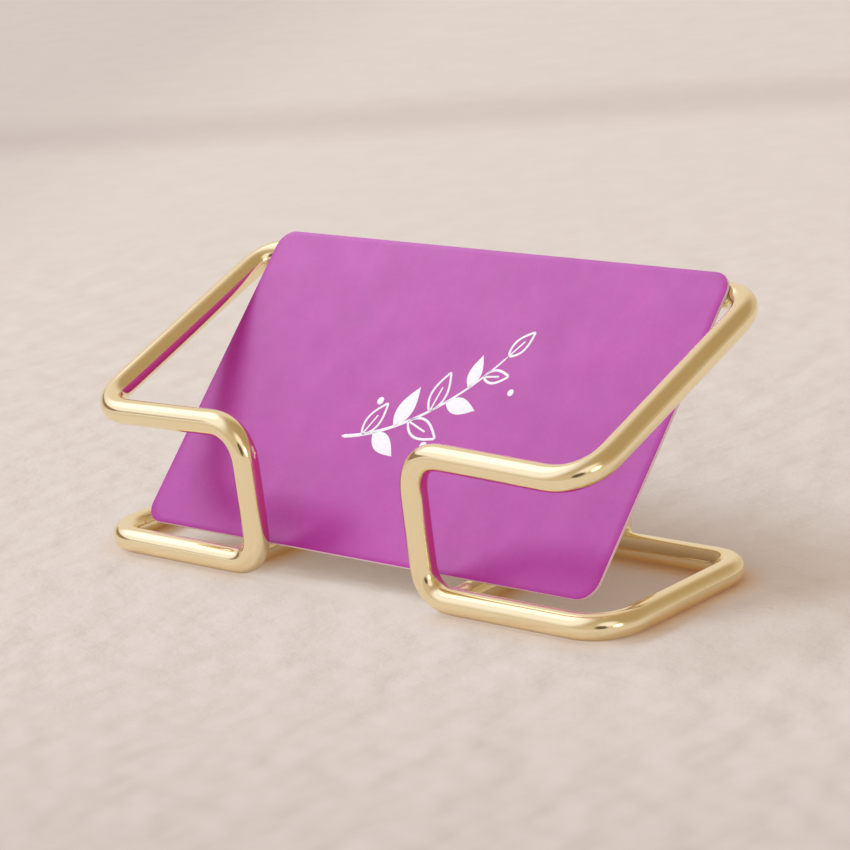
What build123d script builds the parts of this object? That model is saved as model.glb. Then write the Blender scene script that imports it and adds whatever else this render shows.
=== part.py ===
from build123d import *
from math import asin, atan2, cos, degrees, hypot, sin
import os

# Business card holder stand: a frame of bent round wire that holds a card leaning back
# Millimetres. X runs across the stand, Y from front to rear, Z up from the table
# The origin is on the table, under the middle of the stand

# Card: one thick card with rounded corners
card_width = 88.9
card_height = 50.8
card_thickness = 0.5
card_corner_radius = 3.0

# Wire frame: depths and heights are taken to the centre line of the wire
wire_diameter = 3.8
finger_gap = 29.6
upright_height = 22.9
shoulder_height = 22.1
top_bar_height = 36.8
top_bar_depth = 39.3
base_depth = 28.6
base_flare = 1.5

# Bends: the radius on the inside of each bend
foot_bend = 2.1
head_bend = 3.1
shoulder_bend = 3.9
rear_top_bend = 3.1
front_corner_bend = 3.5
rear_corner_bend = 1.7

# Clear gaps: beside, before, below and behind the card, between neighbouring wires, and at the welds
card_side_gap = 1.75
card_front_gap = 0.85
card_rest_gap = 0.15
card_back_gap = 0.2
rest_bar_gap = 1.3
rear_leg_gap = 1.2
weld_gap = 0.02

# Places worked out from the sizes above
wire_radius = wire_diameter / 2
overall_depth = max(top_bar_depth, base_depth) + wire_diameter
front_y = wire_radius - overall_depth / 2
base_rear_y = front_y + base_depth
top_bar_y = front_y + top_bar_depth
upright_x = finger_gap / 2 + wire_radius
shoulder_x = card_width / 2 + card_side_gap + wire_radius
base_x = shoulder_x + base_flare
rest_bar_x = upright_x + wire_diameter + rest_bar_gap
rear_leg_x = rest_bar_x + wire_diameter + rear_leg_gap

# The card's lower back edge stands over the rest bars, and its back lies against the top rear bar
card_foot_y = front_y + wire_radius + card_front_gap + card_thickness
card_foot_z = wire_diameter + card_rest_gap
foot_to_bar_y = top_bar_y - card_foot_y
foot_to_bar_z = top_bar_height - card_foot_z
foot_to_bar = hypot(foot_to_bar_y, foot_to_bar_z)
card_lean = atan2(foot_to_bar_z, foot_to_bar_y) + asin((wire_radius + card_back_gap) / foot_to_bar)

bend_radii = [
    inside + wire_radius
    for inside in (rear_corner_bend, front_corner_bend, foot_bend, head_bend, shoulder_bend, rear_top_bend)
]


# Corners of one side's wire, from the middle of the rear floor bar to the middle of the top rear bar
def side_corners(sign):
    return [
        Vector(0, base_rear_y, wire_radius),
        Vector(sign * base_x, base_rear_y, wire_radius),
        Vector(sign * base_x, front_y, wire_radius),
        Vector(sign * upright_x, front_y, wire_radius),
        Vector(sign * upright_x, front_y, upright_height),
        Vector(sign * shoulder_x, front_y, shoulder_height),
        Vector(sign * shoulder_x, top_bar_y, top_bar_height),
        Vector(0, top_bar_y, top_bar_height),
    ]


# A wire bent round every corner in turn
def bent_wire(corners, radius):
    with BuildPart() as wire:
        with BuildLine():
            FilletPolyline(*corners, radius=bend_radii)
        with BuildSketch(Plane(origin=corners[0], z_dir=corners[1] - corners[0])):
            Circle(radius)
        sweep()
    return wire.part


# A straight wire between two points on other wires' centre lines, its ends hollowed to seat on them
def straight_wire(start, end, weld_space):
    with BuildPart() as wire:
        with BuildSketch(Plane(origin=start, z_dir=end - start)):
            Circle(wire_radius)
        extrude(amount=(end - start).length)
        add(weld_space, mode=Mode.SUBTRACT)
    return wire.part


os.makedirs("parts", exist_ok=True)

# Both sides of the frame, each with its rest bar and its rear leg
for side, sign in (("left", -1), ("right", 1)):
    corners = side_corners(sign)
    weld_space = bent_wire(corners, wire_radius + weld_gap)

    side_wire = bent_wire(corners, wire_radius)
    side_wire.label = side + "_side_wire"
    export_step(side_wire, "parts/" + side_wire.label + ".step")

    rest_bar = straight_wire(
        Vector(sign * rest_bar_x, front_y, wire_radius),
        Vector(sign * rest_bar_x, base_rear_y, wire_radius),
        weld_space,
    )
    rest_bar.label = side + "_rest_bar"
    export_step(rest_bar, "parts/" + rest_bar.label + ".step")

    rear_leg = straight_wire(
        Vector(sign * rear_leg_x, base_rear_y, wire_radius),
        Vector(sign * rear_leg_x, top_bar_y, top_bar_height),
        weld_space,
    )
    rear_leg.label = side + "_rear_leg"
    export_step(rear_leg, "parts/" + rear_leg.label + ".step")

# The card, drawn on its back face from the middle of its lower edge
card_back = Plane(
    origin=(0, card_foot_y, card_foot_z),
    x_dir=(1, 0, 0),
    z_dir=(0, -sin(card_lean), cos(card_lean)),
)
with BuildPart() as business_card:
    with BuildSketch(card_back):
        RectangleRounded(card_width, card_height, card_corner_radius, align=(Align.CENTER, Align.MIN))
    extrude(amount=card_thickness)
business_card.part.label = "business_card"
export_step(business_card.part, "parts/business_card.step")

print("card lean from the table", round(degrees(card_lean), 3), "degrees")
print("card slides along", round(cos(card_lean), 6), round(sin(card_lean), 6), "in Y and Z")
print("front plane of the wire", round(front_y, 3), "card foot", round(card_foot_y, 3), round(card_foot_z, 3))
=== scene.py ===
import math

import bpy
import numpy as np
from mathutils import Matrix


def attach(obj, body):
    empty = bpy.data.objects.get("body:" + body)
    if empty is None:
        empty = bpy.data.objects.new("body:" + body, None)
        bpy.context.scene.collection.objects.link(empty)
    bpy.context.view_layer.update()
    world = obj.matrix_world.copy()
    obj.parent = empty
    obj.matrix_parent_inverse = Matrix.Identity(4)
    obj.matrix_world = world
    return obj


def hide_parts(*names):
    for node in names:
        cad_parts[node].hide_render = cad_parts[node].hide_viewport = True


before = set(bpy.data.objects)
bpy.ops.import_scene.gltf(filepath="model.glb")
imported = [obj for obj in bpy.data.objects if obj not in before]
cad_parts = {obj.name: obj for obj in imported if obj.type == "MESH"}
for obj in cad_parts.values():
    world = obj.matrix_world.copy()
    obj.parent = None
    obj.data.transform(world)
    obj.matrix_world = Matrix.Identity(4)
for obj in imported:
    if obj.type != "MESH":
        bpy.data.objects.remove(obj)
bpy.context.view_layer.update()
scene = bpy.context.scene
scene.view_settings.view_transform = "Standard"
mm = 0.001
hands = (("left", -1), ("right", 1))  # each side of the stand, and the sign of its X
print("frame loaded, nodes:", sorted(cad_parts))


# A unit vector from a compass bearing and a height angle, bearing 0 looking to the front and 90 to the right
def towards(bearing, height):
    b, h = math.radians(bearing), math.radians(height)
    return np.array([math.sin(b) * math.cos(h), -math.cos(b) * math.cos(h), math.sin(h)])


def unit(vector):
    return vector / np.linalg.norm(vector)


# The matrix that stands a camera or a lamp at a place, looking away from back
def stoodAt(right, up, back, place):
    columns = np.stack([right, up, back, place], 1)
    return Matrix([*columns.tolist(), [0, 0, 0, 1]])


# Mesh from a grid of points: rows run along the piece, columns close round it, and a pole shuts each end.
# Every four neighbours make a face, and all faces are turned over if the enclosed volume comes out negative.
def closedSkin(rings):
    rows, cols, _ = rings.shape
    poles = np.stack([rings[0].mean(0), rings[-1].mean(0)])
    points = np.concatenate([rings.reshape(-1, 3), poles])
    index = np.arange(rows * cols).reshape(rows, cols)
    turned = np.roll(index, -1, axis=1)
    quads = np.stack([index[:-1], turned[:-1], turned[1:], index[1:]], -1).reshape(-1, 4)
    first = np.stack([turned[0], index[0], np.full(cols, rows * cols)], -1)
    last = np.stack([index[-1], turned[-1], np.full(cols, rows * cols + 1)], -1)
    tris = np.concatenate([first, last])
    fans = np.concatenate([tris, quads[:, [0, 1, 2]], quads[:, [0, 2, 3]]])
    a, b, c = (points[fans[:, k]] - points.mean(0) for k in range(3))
    if (a * np.cross(b, c)).sum() < 0:
        quads, tris = quads[:, ::-1], tris[:, ::-1]
    return points, quads, tris


# One object from one or more closed skins, with its place in its mesh
def makePiece(name, skins, sharpAngle, material):
    points, faces, start = [], [], 0
    for skinPoints, quads, tris in skins:
        points.append(skinPoints)
        faces += (quads + start).tolist() + (tris + start).tolist()
        start += len(skinPoints)
    mesh = bpy.data.meshes.new(name)
    mesh.from_pydata(np.concatenate(points).tolist(), [], faces)
    mesh.polygons.foreach_set("use_smooth", np.ones(len(mesh.polygons), bool))
    mesh.set_sharp_from_angle(angle=math.radians(sharpAngle))
    mesh.materials.append(material)
    mesh.update()
    piece = bpy.data.objects.new(name, mesh)
    scene.collection.objects.link(piece)
    return piece


# A node of a material or of the world, with its inputs set by name or by number
def addNode(tree, kind, inputs=None, **settings):
    node = tree.nodes.new(kind)
    for key, value in settings.items():
        setattr(node, key, value)
    for key, value in (inputs or {}).items():
        if isinstance(value, bpy.types.NodeSocket):
            tree.links.new(value, node.inputs[key])
        else:
            node.inputs[key].default_value = value
    return node


def newMaterial(name):
    material = bpy.data.materials.new(name)
    material.use_nodes = True
    tree = material.node_tree
    return material, tree, tree.nodes["Principled BSDF"]


# Noise on the piece's own coordinates, in metres, with detail of the given width in millimetres
def grain(tree, width, detail, stretch=(1, 1, 1), fine=0.55):
    place = addNode(tree, "ShaderNodeTexCoord")
    turned = addNode(tree, "ShaderNodeMapping", {"Vector": place.outputs["Object"], "Scale": stretch})
    noise = addNode(tree, "ShaderNodeTexNoise", {
        "Vector": turned.outputs[0], "Scale": 1000 / width, "Detail": detail, "Roughness": fine})
    return noise.outputs[0]


# The middle range of a noise, where nearly all of it lies, carried over to low and high
def spread(tree, noise, low, high):
    return addNode(tree, "ShaderNodeMapRange", {
        "Value": noise, "From Min": 0.3, "From Max": 0.7, "To Min": low, "To Max": high}).outputs[0]


# A soft step from 0 at one value to 1 at the other
def softStep(tree, value, start, end):
    return addNode(tree, "ShaderNodeMapRange", {"Value": value, "From Min": start, "From Max": end},
                   interpolation_type="SMOOTHSTEP").outputs[0]


def sums(tree, operation, first, second):
    return addNode(tree, "ShaderNodeMath", {0: first, 1: second}, operation=operation).outputs[0]


def dotWith(tree, vector, axis):
    return addNode(tree, "ShaderNodeVectorMath", {0: vector, 1: axis}, operation="DOT_PRODUCT").outputs["Value"]


def blendColour(tree, factor, first, second):
    node = addNode(tree, "ShaderNodeMix", data_type="RGBA")
    for socket, value in ((node.inputs[0], factor), (node.inputs[6], first), (node.inputs[7], second)):
        if isinstance(value, bpy.types.NodeSocket):
            tree.links.new(value, socket)
        else:
            socket.default_value = value if isinstance(value, float) else (*value, 1.0)
    return node.outputs[2]


def shaded(colour, share):
    return tuple(share * channel for channel in colour)


# A value kept at the points of the mesh
def pointMark(tree, name):
    return addNode(tree, "ShaderNodeAttribute", attribute_name=name).outputs["Fac"]


def bump(tree, height, strength, distance, normal=None):
    inputs = {"Height": height, "Strength": strength, "Distance": distance}
    if normal is not None:
        inputs["Normal"] = normal
    return addNode(tree, "ShaderNodeBump", inputs).outputs[0]


# Polished gold plating: a shade of colour that drifts along the wire, faint buffing haze, slight waviness.
# Here and below a noise is its width in millimetres and its detail, and a bump its strength and height in metres
polishedGold = {
    "pale": (0.990, 0.875, 0.575),
    "deep": (0.975, 0.850, 0.540),
    "drift": (14.0, 2.0),
    "gloss": (0.09, 0.15),
    "haze": (3.0, 4.0),
    "waves": (5.0, 1.0),
    "waveBump": (0.05, 0.0002),
}


def makeGold(look):
    material, tree, shader = newMaterial("polished_gold")
    drift = spread(tree, grain(tree, *look["drift"]), 0.0, 1.0)
    tree.links.new(blendColour(tree, drift, look["pale"], look["deep"]), shader.inputs["Base Color"])
    shader.inputs["Metallic"].default_value = 1.0
    haze = spread(tree, grain(tree, *look["haze"]), *look["gloss"])
    tree.links.new(haze, shader.inputs["Roughness"])
    waves = bump(tree, grain(tree, *look["waves"]), *look["waveBump"])
    tree.links.new(waves, shader.inputs["Normal"])
    return material


# Purple card: cloudy print on the front, paper tooth, bare pale stock on the back, a cut edge that the ink tints
# and that is painted paler than the stock, as if lit
purpleCard = {
    "light": (0.487, 0.033, 0.357),
    "dark": (0.383, 0.021, 0.283),
    "clouds": (14.0, 5.0),
    "cloudFine": 0.80,
    "flecks": (0.7, 3.0),
    "fleckShare": 0.25,
    "fleckShade": 0.88,
    "stock": (0.82, 0.74, 0.69),
    "fibres": (1.2, 4.0),
    "fibreShade": 0.92,
    # ink-tinted cut edge, partly painted light: paler than the bare stock, as if lit
    "cut": (0.97, 0.74, 0.87),
    "gloss": (0.36, 0.40),
    "glossDrift": (6.0, 5.0),
    "shine": 0.23,
    "sheen": (1.0, 0.75, 0.85),
    "tooth": (0.8, 5.0),
    "toothStretch": (1, 0.6, 0.6),
    "toothBump": (0.10, 0.0001),
    "swells": (7.0, 4.0),
    "swellBump": (0.04, 0.0004),
}


def makeCardStock(look):
    material, tree, shader = newMaterial("purple_card_stock")
    clouds = spread(tree, grain(tree, *look["clouds"], fine=look["cloudFine"]), 0.0, 1.0)
    face = blendColour(tree, clouds, look["dark"], look["light"])
    flecks = spread(tree, grain(tree, *look["flecks"]), 0.0, look["fleckShare"])
    face = blendColour(tree, flecks, face, shaded(look["dark"], look["fleckShade"]))
    fibres = spread(tree, grain(tree, *look["fibres"]), 0.0, 1.0)
    stock = blendColour(tree, fibres, look["stock"], shaded(look["stock"], look["fibreShade"]))
    colour = blendColour(tree, pointMark(tree, "printed"), stock, face)
    # the cut edge: ink-tinted stock with painted light that makes it paler than the bare stock
    colour = blendColour(tree, pointMark(tree, "cutEdge"), colour, look["cut"])
    tree.links.new(colour, shader.inputs["Base Color"])
    gloss = spread(tree, grain(tree, *look["glossDrift"]), *look["gloss"])
    tree.links.new(gloss, shader.inputs["Roughness"])
    shader.inputs["Specular IOR Level"].default_value = look["shine"]
    shader.inputs["Specular Tint"].default_value = (*look["sheen"], 1.0)
    tooth = bump(tree, grain(tree, *look["tooth"], look["toothStretch"]), *look["toothBump"])
    swells = bump(tree, grain(tree, *look["swells"]), *look["swellBump"], tooth)
    tree.links.new(swells, shader.inputs["Normal"])
    return material


# White ink: a soft white with faint mottle
whiteInk = {
    "bright": (0.93, 0.90, 0.93),
    "thin": (0.86, 0.79, 0.86),
    "mottle": (0.6, 3.0),
    "roughness": 0.45,
    "shine": 0.2,
}


def makeInk(look):
    material, tree, shader = newMaterial("white_ink")
    mottle = spread(tree, grain(tree, *look["mottle"]), 0.0, 1.0)
    tree.links.new(blendColour(tree, mottle, look["bright"], look["thin"]), shader.inputs["Base Color"])
    shader.inputs["Roughness"].default_value = look["roughness"]
    shader.inputs["Specular IOR Level"].default_value = look["shine"]
    return material


goldFinish = makeGold(polishedGold)
cardFinish = makeCardStock(purpleCard)
inkFinish = makeInk(whiteInk)
print("finishes made")

# Bent wires, millimetres: sizes are to the centre line, bends are listed from the rear floor to the rear top
sideWire = {
    "radius": 1.9,
    "frontY": -19.65,
    "floorRearY": 8.95,
    "topRearY": 19.65,
    "uprightX": 16.7,
    "shoulderX": 48.1,
    "floorX": 49.6,
    "headZ": 22.9,
    "shoulderZ": 22.1,
    "topZ": 36.8,
    "bends": (3.6, 5.4, 4.0, 5.0, 5.8, 5.0),
    "ease": 3.4,
    "around": 48,
    "ringStep": 1.2,
    "bendRings": 37,
    "sharpAngle": 40,
}


# Centre line of straight runs and bends. A bend tightens evenly over the ease, holds its radius and loosens
# again. Its turn and its path are running sums along it, and the side vector turns with it. It starts before
# the corner by half its straight-across length over cos(half its turn).
# Gives points, directions and side vectors, one row each
def bentLine(corners, size):
    ease, step = size["ease"], size["ringStep"]
    points, along, sides = [], [], []
    here = corners[0]
    heading = unit(corners[1] - corners[0])
    side = np.array([0.0, 1.0, 0.0])
    for corner, after, radius in zip(corners[1:-1], corners[2:], size["bends"]):
        turnTo = unit(after - corner)
        angle = math.acos(np.clip(heading @ turnTo, -1, 1))
        axis = unit(np.cross(heading, turnTo))
        inward = np.cross(axis, heading)
        walk = np.linspace(0, radius * angle + ease, size["bendRings"])
        tight = np.clip(np.minimum(walk, walk[-1] - walk) / ease, 0, 1)
        turn = np.append(0, np.cumsum(tight[1:] + tight[:-1]))
        turn *= angle / turn[-1]
        halfway = (turn[1:] + turn[:-1]) / 2
        ahead = np.append(0, np.cumsum(np.cos(halfway)))[:, None] * walk[1]
        aside = np.append(0, np.cumsum(np.sin(halfway)))[:, None] * walk[1]
        begin = corner - heading * math.hypot(ahead[-1, 0], aside[-1, 0]) / (2 * math.cos(angle / 2))
        count = max(2, round(np.linalg.norm(begin - here) / step))
        share = np.linspace(0, 1, count, endpoint=False)[min(1, len(points)):, None]
        points.append(here + (begin - here) * share)
        along.append(np.repeat(heading[None], len(share), 0))
        sides.append(np.repeat(side[None], len(share), 0))
        cosine, sine = np.cos(turn)[:, None], np.sin(turn)[:, None]
        points.append(begin + heading * ahead + inward * aside)
        along.append(heading * cosine + inward * sine)
        sides.append(side * cosine + np.cross(axis, side) * sine + axis * (axis @ side) * (1 - cosine))
        here, heading, side = points[-1][-1], turnTo, sides[-1][-1]
    count = max(2, round(np.linalg.norm(corners[-1] - here) / step))
    share = np.linspace(0, 1, count + 1)[1:, None]
    points.append(here + (corners[-1] - here) * share)
    along.append(np.repeat(heading[None], len(share), 0))
    sides.append(np.repeat(side[None], len(share), 0))
    return tuple(np.concatenate(parts) for parts in (points, along, sides))


# A circle carried along the bent line: point plus radius times (cos side + sin cross(direction, side))
def makeSideWire(name, node, sign, size):
    corners = np.array([
        (0, size["floorRearY"], size["radius"]),
        (sign * size["floorX"], size["floorRearY"], size["radius"]),
        (sign * size["floorX"], size["frontY"], size["radius"]),
        (sign * size["uprightX"], size["frontY"], size["radius"]),
        (sign * size["uprightX"], size["frontY"], size["headZ"]),
        (sign * size["shoulderX"], size["frontY"], size["shoulderZ"]),
        (sign * size["shoulderX"], size["topRearY"], size["topZ"]),
        (0, size["topRearY"], size["topZ"]),
    ], float)
    points, along, sides = bentLine(corners, size)
    turn = np.linspace(0, 2 * math.pi, size["around"], endpoint=False)[None, :, None]
    spokes = np.cos(turn) * sides[:, None] + np.sin(turn) * np.cross(along, sides)[:, None]
    rings = (points[:, None] + size["radius"] * spokes) * mm
    piece = makePiece(name, [closedSkin(rings)], size["sharpAngle"], goldFinish)
    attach(piece, "stand")
    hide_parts(node)
    return piece


bentWires = [makeSideWire(side + "_bent_wire", side + "_side_wire", sign, sideWire) for side, sign in hands]
print("bent wires made")

# Straight rods, millimetres: ends on the centre lines of the wires they are welded to
straightRod = {
    "radius": 1.9,
    "restX": 21.8,
    "legX": 26.8,
    "weld": 0.9,
    "weldLeast": 0.12,
    "around": 48,
    "runRings": 16,
    "weldRings": 9,
    "sunk": 0.25,
    "sharpAngle": 60,
}


# A rod between two cross wires of its own thickness. At angle phi from the cross wires' direction its wall
# meets their wall radius times |cos phi| from their axis. There a weld fillet leaves the rod, bends round the
# crease as a quadratic curve and runs out along the cross wire, largest beside the rod and least above and below
def makeRod(name, node, start, end, size):
    radius, weld, least = size["radius"], size["weld"], size["weldLeast"]
    start, end = np.array(start, float), np.array(end, float)
    length = np.linalg.norm(end - start)
    along = unit(end - start)
    across = np.array([1.0, 0.0, 0.0])
    upward = np.cross(across, along)
    phi = np.linspace(0, 2 * math.pi, size["around"], endpoint=False)
    cosine, sine = np.cos(phi), np.sin(phi)
    crease = radius * np.abs(cosine)
    climb = weld * (least + (1 - least) * cosine**2)
    runOut = weld * cosine * np.abs(cosine)
    share = np.linspace(0, 1, size["weldRings"])[:, None]
    reach = crease + climb * (1 - share) ** 2
    widen = radius * cosine + runOut * share**2
    sunkReach, sunkWiden = reach[-1:] - size["sunk"], widen[-1:]
    nearReach, nearWiden = np.vstack([sunkReach, reach[::-1]]), np.vstack([sunkWiden, widen[::-1]])
    farReach, farWiden = length - nearReach[::-1], nearWiden[::-1]
    runShare = np.linspace(0, 1, size["runRings"] + 2)[1:-1, None]
    runReach = nearReach[-1] + (farReach[0] - nearReach[-1]) * runShare
    runWiden = np.repeat(radius * cosine[None], size["runRings"], 0)
    reachAll = np.vstack([nearReach, runReach, farReach])[..., None]
    widenAll = np.vstack([nearWiden, runWiden, farWiden])[..., None]
    rings = start + along * reachAll + across * widenAll + upward * (radius * sine)[None, :, None]
    piece = makePiece(name, [closedSkin(rings * mm)], size["sharpAngle"], goldFinish)
    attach(piece, "stand")
    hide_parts(node)
    return piece


restRods, legRods = [], []
for side, sign in hands:
    restX, legX = sign * straightRod["restX"], sign * straightRod["legX"]
    floorFront = (sideWire["frontY"], sideWire["radius"])
    floorRear = (sideWire["floorRearY"], sideWire["radius"])
    topRear = (sideWire["topRearY"], sideWire["topZ"])
    restRods.append(makeRod(side + "_rest_rod", side + "_rest_bar",
                            (restX, *floorFront), (restX, *floorRear), straightRod))
    legRods.append(makeRod(side + "_leg_rod", side + "_rear_leg",
                           (legX, *floorRear), (legX, *topRear), straightRod))
print("straight rods made")

# The card, millimetres and degrees: its back face starts at the foot and climbs at the lean
card = {
    "width": 88.9,
    "height": 50.8,
    "thickness": 0.5,
    "corner": 3.0,
    "foot": (0.0, -16.4, 3.95),
    "lean": 44.809,
    "cutRound": 0.06,
    "cutTurns": (0, 30, 60, 90),  # round each rim of the cut edge
    "cutFrom": 45,  # turned further than this, a ring is bare paper
    "innerShares": (0.06, 0.3, 0.6, 0.85, 0.97),
    "cornerPoints": 13,
    "edgePoints": 15,
    "sharpAngle": 50,
}
lean = math.radians(card["lean"])
cardAcross = np.array([1.0, 0.0, 0.0])
cardUp = np.array([0.0, math.cos(lean), math.sin(lean)])
cardOut = np.array([0.0, -math.sin(lean), math.cos(lean)])


# A point of the card: foot + u across + w up the slope + h out of the back face
def onCard(u, w, h):
    place = np.array(card["foot"])
    return (place + u[..., None] * cardAcross + w[..., None] * cardUp + h[..., None] * cardOut) * mm


# Outline of a rectangle with round corners, pulled in evenly: the corner centres stay and their radius shrinks
def cardOutline(pull):
    corner = card["corner"]
    halfWidth, halfHeight = card["width"] / 2 - corner, card["height"] / 2 - corner
    turn = np.linspace(0, math.pi / 2, card["cornerPoints"])
    signs = ((1, 1, 0), (-1, 1, 1), (-1, -1, 2), (1, -1, 3))
    arcs = [np.stack([sx * halfWidth + (corner - pull) * np.cos(turn + q * math.pi / 2),
                      sy * halfHeight + (corner - pull) * np.sin(turn + q * math.pi / 2)], -1)
            for sx, sy, q in signs]
    share = np.linspace(0, 1, card["edgePoints"] + 2)[1:-1, None]
    loop = []
    for arc, after in zip(arcs, arcs[1:] + arcs[:1]):
        loop += [arc, arc[-1] + (after[0] - arc[-1]) * share]
    return np.concatenate(loop)


# Rings from the middle of the back, round the cut edge, to the middle of the front, each with its height off
# the back. A rim is a quarter circle: pulled in by 1 - sin of its turn, and 1 - cos of it off its face.
# Two marks are kept for every ring: how far it is printed, and whether it lies on the cut
def makeCard():
    curve, thickness = card["cutRound"], card["thickness"]
    rim = cardOutline(curve)
    rows = [(rim * share, 0.0, 0.0, 0.0) for share in card["innerShares"]]
    edge = []
    for degrees in card["cutTurns"]:
        turn = math.radians(degrees)
        outline = cardOutline(curve * (1 - math.sin(turn)))
        edge.append((outline, curve * (1 - math.cos(turn)), float(degrees > card["cutFrom"])))
    rows += [(outline, depth, 0.0, onCut) for outline, depth, onCut in edge]
    rows += [(outline, thickness - depth, 1.0 - onCut, onCut) for outline, depth, onCut in edge[::-1]]
    rows += [(rim * share, thickness, 1.0, 0.0) for share in card["innerShares"][::-1]]
    rings, heights, printed, onCuts = zip(*rows)
    flat = np.stack(rings)
    tall = np.array(heights)[:, None] * np.ones(flat.shape[1])
    skin = closedSkin(onCard(flat[..., 0], flat[..., 1] + card["height"] / 2, tall))
    piece = makePiece("purple_card", [skin], card["sharpAngle"], cardFinish)
    for name, marks, poles in (("printed", printed, (0.0, 1.0)), ("cutEdge", onCuts, (0.0, 0.0))):
        values = np.concatenate([np.repeat(marks, flat.shape[1]), poles]).astype(np.float32)
        piece.data.attributes.new(name, "FLOAT", "POINT").data.foreach_set("value", values)
    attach(piece, "card")
    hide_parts("business_card")


makeCard()
print("card made")

# Printed sprig, millimetres on the card face: u from the middle of the card, w up from its lower edge
sprig = {
    "stem": ((-13.0, 18.2), (-5.5, 19.0), (4.5, 24.0), (11.5, 34.2)),
    "stemHalf": (0.30, 0.16),
    "stemBlunt": 0.02,
    "line": 0.20,
    "lineBlunt": 0.06,
    "leafBelly": 0.8,  # below 1, the leaf is widest nearer its base
    "veinLength": 0.62,
    "veinLine": 0.75,
    "tip": 0.02,
    "bevel": 0.1,
    "raised": 0.02,
    "sunk": 0.02,
    "points": 41,
    "sharpAngle": 40,
}
leaves = (  # place on the stem, turn from the stem in degrees, length, half width, filled
    (0.16, 52, 6.0, 1.35, False),
    (0.24, -50, 6.4, 1.40, True),
    (0.37, 50, 7.0, 1.55, True),
    (0.46, -48, 6.8, 1.50, False),
    (0.58, 48, 6.6, 1.45, False),
    (0.67, -46, 6.0, 1.35, True),
    (0.79, 44, 5.4, 1.20, True),
    (0.87, -42, 4.6, 1.05, False),
    (1.00, 0, 5.2, 1.15, False),
)
berries = ((-8.6, 24.6, 0.62), (3.2, 18.6, 0.62), (14.8, 28.6, 0.55))  # u, w and radius


# A stroke of ink: a flat-topped bar whose half width follows the path, drawn out of the card face
def inkStroke(path, half):
    step = np.gradient(path, axis=0)
    step /= np.linalg.norm(step, axis=1)[:, None]
    beside = np.stack([-step[:, 1], step[:, 0]], -1)
    left, right = path + beside * half[:, None], path - beside * half[:, None]
    inset = (right - left) * sprig["bevel"]
    ring = np.stack([left, left + inset, right - inset, right], 1)
    ring = np.concatenate([ring, ring[:, ::-1]], 1)
    face = card["thickness"]
    top, low = face + sprig["raised"], face - sprig["sunk"]
    tall = np.array([face, top, top, face, low, low, low, low])[None] * np.ones((len(path), 1))
    return closedSkin(onCard(ring[..., 0], ring[..., 1], tall))


# Half widths along a stroke with round ends: a quarter circle over the blunt share of its length
def rounded(share, half, blunt):
    ends = np.clip(np.minimum(share, 1 - share) / blunt, sprig["tip"], 1)
    return half * np.sqrt(1 - (1 - ends) ** 2)


# The stem is a cubic curve drawn by four points. A leaf's half width is a sine along its rib; the leaf is filled
# in, or drawn as two outlines and a vein. A berry is a disc
def makePrint():
    share = np.linspace(0, 1, sprig["points"])
    a, b, c, d = (np.array(p) for p in sprig["stem"])
    s = share[:, None]
    stem = a * (1 - s) ** 3 + 3 * b * s * (1 - s) ** 2 + 3 * c * s**2 * (1 - s) + d * s**3
    foot, head = sprig["stemHalf"]
    strokes = [inkStroke(stem, rounded(share, foot + (head - foot) * share, sprig["stemBlunt"]))]
    line = rounded(share, sprig["line"], sprig["lineBlunt"])
    heading = np.gradient(stem, axis=0)
    for place, turn, length, half, filled in leaves:
        base = np.array([np.interp(place, share, stem[:, k]) for k in range(2)])
        run, rise = (np.interp(place, share, heading[:, k]) for k in range(2))
        tilt = math.atan2(rise, run) + math.radians(turn)
        out = np.array([math.cos(tilt), math.sin(tilt)])
        beside = np.array([-out[1], out[0]])
        belly = np.sin(math.pi * share ** sprig["leafBelly"]) * half
        rib = base + out * (share * length)[:, None]
        if filled:
            strokes.append(inkStroke(rib, np.maximum(belly, sprig["tip"])))
            continue
        for hand in (1, -1):
            strokes.append(inkStroke(rib + beside * (hand * belly)[:, None], line))
        vein = base + out * (share * length * sprig["veinLength"])[:, None]
        strokes.append(inkStroke(vein, line * sprig["veinLine"]))
    for u, w, radius in berries:
        across = (2 * share - 1) * radius
        disc = np.stack([u + across, np.full_like(share, w)], -1)
        strokes.append(inkStroke(disc, np.sqrt(np.maximum(radius**2 - across**2, 0.0001))))
    piece = makePiece("white_print", strokes, sprig["sharpAngle"], inkFinish)
    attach(piece, "card")


makePrint()
print("print made")

# Camera, millimetres and degrees, with the focal length and the aimed-at point in pixels of the square image
view = {
    "bearing": 45.389,
    "height": 15.924,
    "roll": -7.175,
    "distance": 488.72,
    "focal": 3427.37,
    "aim": (0.0, -4.65, 20.0),
    "aimPixel": (399.22, 428.13),
    "image": 850,
    "sensor": 36.0,
    "clip": (0.01, 20.0),  # metres
}


def makeCamera():
    back = towards(view["bearing"], view["height"])
    right = unit(np.cross(-back, (0.0, 0.0, 1.0)))
    up = np.cross(right, -back)
    roll = math.radians(view["roll"])
    right, up = math.cos(roll) * right + math.sin(roll) * up, math.cos(roll) * up - math.sin(roll) * right
    perPixel = view["distance"] / view["focal"]
    middle = view["image"] / 2
    offX, offY = ((pixel - middle) * perPixel for pixel in view["aimPixel"])
    place = (np.array(view["aim"]) + view["distance"] * back - offX * right + offY * up) * mm
    data = bpy.data.cameras.new("camera")
    data.sensor_width = view["sensor"]
    data.sensor_fit = "HORIZONTAL"
    data.lens = view["focal"] / view["image"] * view["sensor"]
    data.clip_start, data.clip_end = view["clip"]
    camera = bpy.data.objects.new("camera", data)
    camera.matrix_world = stoodAt(right, up, back, place)
    scene.collection.objects.link(camera)
    scene.camera = camera


makeCamera()
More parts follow.
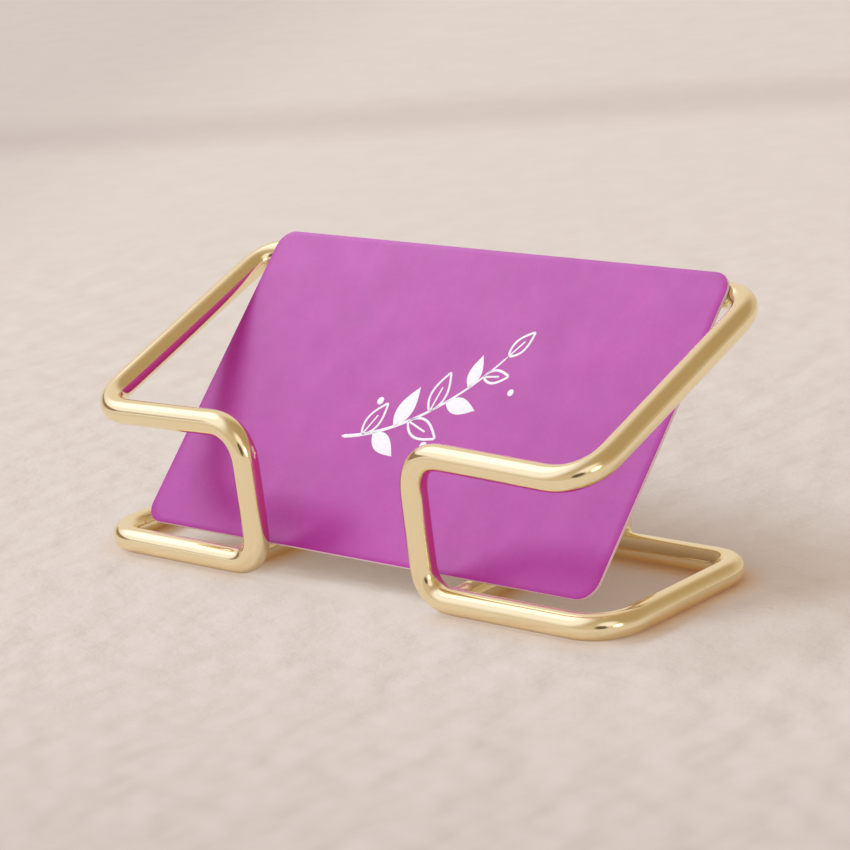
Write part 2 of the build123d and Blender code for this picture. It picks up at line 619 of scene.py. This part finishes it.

# Floor, millimetres: one pale felt sheet, with painted shade deeper towards the front and the far left and a
# soft band of painted shade along the seam behind the stand. Depths are measured square to the seam, and two
# depths are where a change starts and ends
stage = {
    "seamFoot": (-232.0, 241.5),
    "seamBearing": 26.4,
    "seamWidth": 34.0,
    "pale": (0.765, 0.668, 0.606),
    "beyond": (0.745, 0.650, 0.588),
    # painted shade along the seam line
    "seam": (0.675, 0.575, 0.520),
    "front": (-20.0, -150.0),
    # painted shade: the floor's colour seen darker towards the front
    "frontShade": (0.660, 0.560, 0.512),
    # painted shade: the floor darkens towards the far left between these depths
    "left": (-130.0, -230.0),
    "leftShare": 0.25,
    "leftShade": (0.36, 0.31, 0.28),
    "flecks": (9.0, 8.0),
    "fleckShare": 0.07,
    "fleckShade": (0.30, 0.24, 0.20),
    "roughness": 0.9,
    "shine": 0.1,
    "pile": (1.6, 4.0),
    "pileFront": (-95.0, -30.0),
    "pileRear": (150.0, 40.0),
    "pileBump": (0.33, 0.0008),
    "lumps": (8.5, 1.0),
    "lumpsRear": (300.0, 20.0),
    "lumpBump": (0.38, 0.0042),
    "glow": 0.18,
    "fine": ((-64, 64), (-42, 30)),  # X and Y over which the grid is 1 mm fine
    "around": 300.0,
    "reach": 2600.0,
}

# Golden light that the wires throw on the floor, painted into the floor's colour, and daylight painted as its
# glow, millimetres: a share and the distance over which it fades
wireGlow = {
    "golden": (0.740, 0.450, 0.225),
    "contact": 0.73,
    "close": (0.80, 2.5),
    "paler": (0.72, 6.0),  # taken off before the front bars
    "inside": (0.30, 9.0),  # between the wires
    "insideFrom": 6.0,
    # painted light: a glow that eye rays see before the front bars
    "spill": ((0.55, 2.0), (0.12, 9.0)),  # daylight before the front bars
}


# Two values for each point of the floor, both painted light. The painted golden light falls off with the square
# of the distance to the lowest line of the nearest wire, and more slowly between the wires. The painted daylight
# glow falls off from the front line
def floorLight(flat):
    coordinates = []
    for piece in bentWires + restRods:
        found = np.empty(len(piece.data.vertices) * 3, np.float32)
        piece.data.vertices.foreach_get("co", found)
        coordinates.append(found.reshape(-1, 3) / mm)
    lowest = np.concatenate(coordinates)
    lowest = lowest[lowest[:, 2] < 0.01]
    gap = np.hypot(flat[:, :1] - lowest[:, 0], flat[:, 1:] - lowest[:, 1]).min(1)
    gap = np.maximum(gap - wireGlow["contact"], 0.0)
    x, y = np.abs(flat[:, 0]), flat[:, 1] - sideWire["frontY"]
    ahead = np.hypot(np.maximum(x - sideWire["floorX"], 0.0), y)
    share, scale = wireGlow["close"]
    gold = share * np.exp(-(gap / scale) ** 2)
    share, scale = wireGlow["paler"]
    gold *= 1.0 - share * np.exp(-(ahead / scale) ** 2)
    share, scale = wireGlow["inside"]
    within = (x < sideWire["floorX"]) & (flat[:, 1] < sideWire["floorRearY"])
    gold += share * np.exp(-gap / scale) * within * np.clip(y / wireGlow["insideFrom"], 0.0, 1.0)
    daylight = sum(share * np.exp(-ahead / scale) for share, scale in wireGlow["spill"])
    return gold, daylight


# The floor's colour follows the distance to the seam line, a dot product with the line's side vector. Eye and
# mirror rays see part of that colour as its own soft glow, which keeps the shadows pale
def makeFloorFelt():
    material, tree, shader = newMaterial("pale_floor")
    bearing = math.radians(stage["seamBearing"])
    away = (-math.sin(bearing), math.cos(bearing), 0.0)
    aside = (math.cos(bearing), math.sin(bearing), 0.0)
    place = addNode(tree, "ShaderNodeTexCoord").outputs["Object"]
    depth, across = dotWith(tree, place, away), dotWith(tree, place, aside)
    seamAt = float(np.dot(away[:2], stage["seamFoot"])) * mm
    width = stage["seamWidth"] * mm

    def between(name, value=depth):
        start, end = stage[name]
        return softStep(tree, value, start * mm, end * mm)

    def product(first, second):
        return sums(tree, "MULTIPLY", first, second)

    path = addNode(tree, "ShaderNodeLightPath").outputs
    eye, mirror = path["Is Camera Ray"], path["Is Glossy Ray"]
    # painted shade: eye rays see the floor darker towards the front
    sheet = blendColour(tree, product(between("front"), eye), stage["pale"], stage["frontShade"])
    past = softStep(tree, depth, seamAt - width / 2, seamAt + width / 2)
    sheet = blendColour(tree, past, sheet, stage["beyond"])
    # painted shade: a soft darker band along the seam line
    rising, falling = (softStep(tree, depth, seamAt + side * width, seamAt) for side in (-1, 1))
    sheet = blendColour(tree, product(rising, falling), sheet, stage["seam"])
    # painted shade: darker towards the far left
    left = product(between("left", across), stage["leftShare"])
    sheet = blendColour(tree, left, sheet, stage["leftShade"])
    flecks = spread(tree, grain(tree, *stage["flecks"]), 0.0, stage["fleckShare"])
    sheet = blendColour(tree, flecks, sheet, stage["fleckShade"])
    # painted light: golden light from the wires, painted into the floor's colour
    sheet = blendColour(tree, pointMark(tree, "paintedGoldenLight"), sheet, wireGlow["golden"])
    tree.links.new(sheet, shader.inputs["Base Color"])
    shader.inputs["Roughness"].default_value = stage["roughness"]
    shader.inputs["Specular IOR Level"].default_value = stage["shine"]

    strength, height = stage["pileBump"]
    strength = product(product(between("pileFront"), between("pileRear")), strength)
    pile = bump(tree, grain(tree, *stage["pile"]), strength, height)
    strength, height = stage["lumpBump"]
    strength = product(between("lumpsRear"), strength)
    lumps = bump(tree, grain(tree, *stage["lumps"]), strength, height, pile)
    tree.links.new(lumps, shader.inputs["Normal"])

    # painted light: near the front bars eye rays see more of the floor's own glow
    ownGlow = product(sums(tree, "MAXIMUM", eye, mirror), stage["glow"])
    share = sums(tree, "ADD", ownGlow, product(pointMark(tree, "frontLight"), eye))
    glow = addNode(tree, "ShaderNodeEmission", {"Color": sheet})
    mixed = addNode(tree, "ShaderNodeMixShader", {0: share, 1: shader.outputs[0], 2: glow.outputs[0]})
    tree.links.new(mixed.outputs[0], tree.nodes["Material Output"].inputs["Surface"])
    return material


# A flat grid, fine under the stand and coarse around it
def makeFloor():
    around, reach = stage["around"], stage["reach"]
    lines = [[-reach, -around, *range(low, high + 1), around, reach] for low, high in stage["fine"]]
    flat = np.stack(np.meshgrid(*lines, indexing="ij"), -1)
    index = np.arange(flat[..., 0].size).reshape(flat.shape[:2])
    faces = np.stack([index[:-1, :-1], index[1:, :-1], index[1:, 1:], index[:-1, 1:]], -1).reshape(-1, 4)
    flat = flat.reshape(-1, 2)
    mesh = bpy.data.meshes.new("pale_floor")
    mesh.from_pydata((np.insert(flat, 2, 0.0, axis=1) * mm).tolist(), [], faces.tolist())
    for name, values in zip(("paintedGoldenLight", "frontLight"), floorLight(flat)):
        mesh.attributes.new(name, "FLOAT", "POINT").data.foreach_set("value", values)
    mesh.materials.append(makeFloorFelt())
    floor = bpy.data.objects.new("pale_floor", mesh)
    scene.collection.objects.link(floor)


makeFloor()
print("floor made")

# Window light: one broad soft lamp to the left, metres and degrees
window = {
    "bearing": -81,
    "height": 46,
    "distance": 4.0,
    "lift": 0.02,
    "width": 2.30,
    "tall": 1.20,
    "watts": 96.0,
    "colour": (0.72, 0.90, 1.08),
}


# The polished wires mirror the room's pale window instead of the lamp, which is far brighter than a real window
def makeWindow():
    data = bpy.data.lights.new("window", "AREA")
    data.shape = "RECTANGLE"
    data.size, data.size_y = window["width"], window["tall"]
    data.energy = window["watts"]
    data.color = window["colour"]
    lamp = bpy.data.objects.new("window", data)
    back = towards(window["bearing"], window["height"])
    right = unit(np.cross((0.0, 0.0, 1.0), back))
    up = np.cross(back, right)
    place = back * window["distance"] + np.array([0.0, 0.0, window["lift"]])
    lamp.matrix_world = stoodAt(right, up, back, place)
    lamp.visible_camera = False
    scene.collection.objects.link(lamp)
    mirrors = bpy.data.collections.new("polished_wires")
    lamp.light_linking.receiver_collection = mirrors
    for piece in bentWires + restRods + legRods:
        mirrors.objects.link(piece)
    for member in mirrors.collection_objects:
        member.light_linking.link_state = "EXCLUDE"


# The room. Matt faces are lit by a fill that is bright from the front and dimmer and warmer from behind. The eye
# and mirrors see a pale room instead, wall below and ceiling above, with soft patches
room = {
    "facing": (-15, 38),  # bearing and height of the brightest fill
    "before": (0.96, 0.91, 0.85),
    "behind": (0.48, 0.38, 0.29),
    "wall": (0.62, 0.51, 0.40),
    "ceiling": (0.52, 0.41, 0.30),
    "rise": (0.30, 0.75),  # sine of the height where the wall ends and the ceiling starts
}
patches = (  # name, bearing, height, radius, flattening, softness, colour
    ("dim side", 115, 48, 1.00, 1.0, 0.65, (0.44, 0.32, 0.185)),
    ("pale behind", -130, 30, 0.90, 1.0, 0.60, (0.80, 0.70, 0.63)),
    ("window glow", -58, 40, 0.80, 1.0, 0.45, (1.00, 0.97, 1.05)),
    ("window", -81, 46, 0.42, 1.6, 0.30, (1.55, 1.50, 1.50)),
    ("sill", -78, 12, 0.62, 4.2, 0.35, (0.30, 0.20, 0.13)),
    ("far window", 50, 33, 0.45, 1.0, 0.60, (0.98, 0.90, 0.88)),
    ("bright pane", 70, 12, 0.22, 1.0, 0.40, (2.2, 2.1, 1.9)),
    ("camera side", 34, 12, 0.28, 1.0, 0.40, (0.12, 0.09, 0.07)),
)


def makeRoom():
    world = bpy.data.worlds.new("room")
    world.use_nodes = True
    scene.world = world
    tree = world.node_tree
    direction = addNode(tree, "ShaderNodeTexCoord").outputs["Generated"]
    upward = addNode(tree, "ShaderNodeSeparateXYZ", {0: direction}).outputs["Z"]
    facing = dotWith(tree, direction, towards(*room["facing"]))
    fill = blendColour(tree, softStep(tree, facing, 0.0, 1.0), room["behind"], room["before"])
    sight = blendColour(tree, softStep(tree, upward, *room["rise"]), room["wall"], room["ceiling"])
    for _, bearing, height, radius, flattening, softness, shade in patches:
        middle = towards(bearing, height)
        off = addNode(tree, "ShaderNodeVectorMath", {0: direction, 1: middle}, operation="SUBTRACT").outputs[0]
        squeezed = addNode(tree, "ShaderNodeVectorMath", {0: off, 1: (1, 1, flattening)}, operation="MULTIPLY")
        length = addNode(tree, "ShaderNodeVectorMath", {0: squeezed.outputs[0]}, operation="LENGTH")
        share = softStep(tree, length.outputs["Value"], radius, radius * (1 - softness))
        sight = blendColour(tree, share, sight, shade)
    path = addNode(tree, "ShaderNodeLightPath").outputs
    seen = sums(tree, "MAXIMUM", path["Is Camera Ray"], path["Is Glossy Ray"])
    seen = sums(tree, "MAXIMUM", seen, path["Is Transmission Ray"])
    background = tree.nodes["Background"]
    tree.links.new(blendColour(tree, seen, fill, sight), background.inputs["Color"])
    background.inputs["Strength"].default_value = 1.0


makeWindow()
makeRoom()
print("light made")
